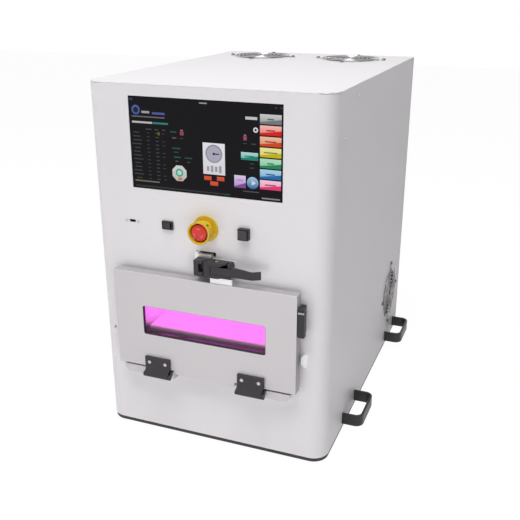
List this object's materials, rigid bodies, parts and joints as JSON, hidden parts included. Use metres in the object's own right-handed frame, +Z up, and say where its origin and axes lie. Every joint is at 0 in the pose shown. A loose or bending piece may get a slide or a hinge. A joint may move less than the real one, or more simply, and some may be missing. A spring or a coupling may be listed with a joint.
{
  "type": "benchtop plasma treatment cabinet",
  "caption": "Benchtop vacuum plasma cabinet: sheet-metal case with touch display, emergency stop, hinged chamber door with window and latch, carrying handles and guarded fans.",
  "frame": {"origin": "middle of the bounding box in X and Y, at the plane the rubber feet stand on", "axes": "+Z up, +Y towards the rear panel, +X to the right of someone facing the door; the front panel's outer face is the plane Y = -0.3145"},
  "size_m": [0.53, 0.705, 0.6776],
  "materials": {
    "shell_paint": "satin light grey powder coat",
    "cover_paint": "satin light grey powder coat",
    "rear_paint": "satin grey powder coat",
    "black_plate": "fine black texture coat",
    "foot_rubber": "moulded",
    "screw_steel": "bright zinc",
    "handle_coat": "black powder coat",
    "glass_black": "black cover glass with a lit picture",
    "plated_sheet": "plated sheet",
    "black_plastic": "moulded black",
    "yellow_plastic": "moulded yellow",
    "red_plastic": "moulded red",
    "grey_plastic": "moulded grey",
    "alu_machined": "fine machined",
    "alu_door": "satin bead-blasted and clear anodised",
    "alu_bright": "brushed",
    "seal_rubber": "moulded",
    "ceramic_white": "alumina",
    "board_green": "solder mask",
    "tube_steel": "stainless",
    "brass_fitting": "machined, nickel-free",
    "tinted_pane": "polished, tinted by the glow behind",
    "charcoal_anodised": "charcoal anodised",
    "chrome_wire": "plated wire",
    "fan_plastic": "moulded"
  },
  "bodies": {
    "cabinet": {"wrap_shell": "shell_paint", "top_cover": "cover_paint", "rear_panel": "rear_paint", "base_plate": "black_plate", "rubber_feet": "foot_rubber", "case_screws": "screw_steel", "handle_right_front": "handle_coat", "handle_right_rear": "handle_coat", "handle_left_front": "handle_coat", "handle_left_rear": "handle_coat", "handle_nuts": "screw_steel", "display_glass": "glass_black", "display_module": "plated_sheet", "usb_socket": "black_plastic", "estop_shroud": "yellow_plastic", "power_switch_body": "black_plastic", "start_bezel": "black_plastic", "switch_blocks": "grey_plastic", "chamber_body": "alu_machined", "chamber_seal": "seal_rubber", "upper_electrode": "alu_machined", "lower_electrode": "alu_machined", "electrode_insulators": "ceramic_white", "chamber_cradle": "plated_sheet", "rf_generator": "plated_sheet", "rf_match_box": "plated_sheet", "power_supply": "plated_sheet", "control_board": "board_green", "vacuum_tubes": "tube_steel", "vacuum_valve": "alu_machined", "pressure_gauge": "tube_steel", "gas_fittings": "brass_fitting", "gas_controllers": "plated_sheet", "gas_tubes": "tube_steel", "mains_inlet": "black_plastic", "hinge_blocks": "alu_door", "hinge_fixed_leaves": "charcoal_anodised", "hinge_pins": "charcoal_anodised", "latch_keeper": "charcoal_anodised", "keeper_bracket": "alu_bright", "door_sensor": "black_plastic", "guide_tab": "alu_bright", "fan_frames": "fan_plastic", "fan_guards": "chrome_wire"},
    "door": {"door_plate": "alu_door", "window_pane": "tinted_pane", "window_retainer": "alu_machined", "hinge_door_leaves": "charcoal_anodised", "door_screws": "screw_steel", "latch_bracket": "alu_bright", "latch_body": "charcoal_anodised", "latch_pin": "screw_steel"},
    "latch_lever": {"latch_lever": "charcoal_anodised"},
    "estop_stem": {"estop_stem": "grey_plastic"},
    "estop_head": {"estop_head": "red_plastic"},
    "start_cap": {"start_cap": "grey_plastic"},
    "power_rocker": {"power_rocker": "black_plastic"},
    "fan_rotor_left": {"fan_rotor_left": "fan_plastic"},
    "fan_rotor_right": {"fan_rotor_right": "fan_plastic"},
    "fan_rotor_side": {"fan_rotor_side": "fan_plastic"}
  },
  "joints": [
    {"name": "door_hinge", "type": "hinge", "parent": "cabinet", "child": "door", "pos_m": [0, -0.3475, 0.144], "axis": [1, 0, 0], "range_deg": [0, 90]},
    {"name": "latch_pivot", "type": "hinge", "parent": "door", "child": "latch_lever", "pos_m": [0.028, -0.3345, 0.369], "axis": [0, 0, -1], "range_deg": [0, 90]},
    {"name": "estop_push", "type": "slide", "parent": "cabinet", "child": "estop_stem", "axis": [0, 1, 0], "range_m": [0, 0.004]},
    {"name": "estop_twist", "type": "hinge", "parent": "estop_stem", "child": "estop_head", "pos_m": [0, -0.3345, 0.434], "axis": [0, 1, 0], "range_deg": [0, 45], "stiffness_Nm_per_rad": 0.05},
    {"name": "start_push", "type": "slide", "parent": "cabinet", "child": "start_cap", "axis": [0, 1, 0], "range_m": [0, 0.003], "stiffness_N_per_m": 800},
    {"name": "power_rock", "type": "hinge", "parent": "cabinet", "child": "power_rocker", "pos_m": [-0.0735, -0.3135, 0.4315], "axis": [0, 0, 1], "range_deg": [0, 16]},
    {"name": "fan_spin_left", "type": "hinge", "parent": "cabinet", "child": "fan_rotor_left", "pos_m": [-0.104, 0.2265, 0.66], "axis": [0, 0, 1], "continuous": true},
    {"name": "fan_spin_right", "type": "hinge", "parent": "cabinet", "child": "fan_rotor_right", "pos_m": [0.104, 0.2265, 0.66], "axis": [0, 0, 1], "continuous": true},
    {"name": "fan_spin_side", "type": "hinge", "parent": "cabinet", "child": "fan_rotor_side", "pos_m": [0.211, 0.2125, 0.14], "axis": [1, 0, 0], "continuous": true}
  ]
}
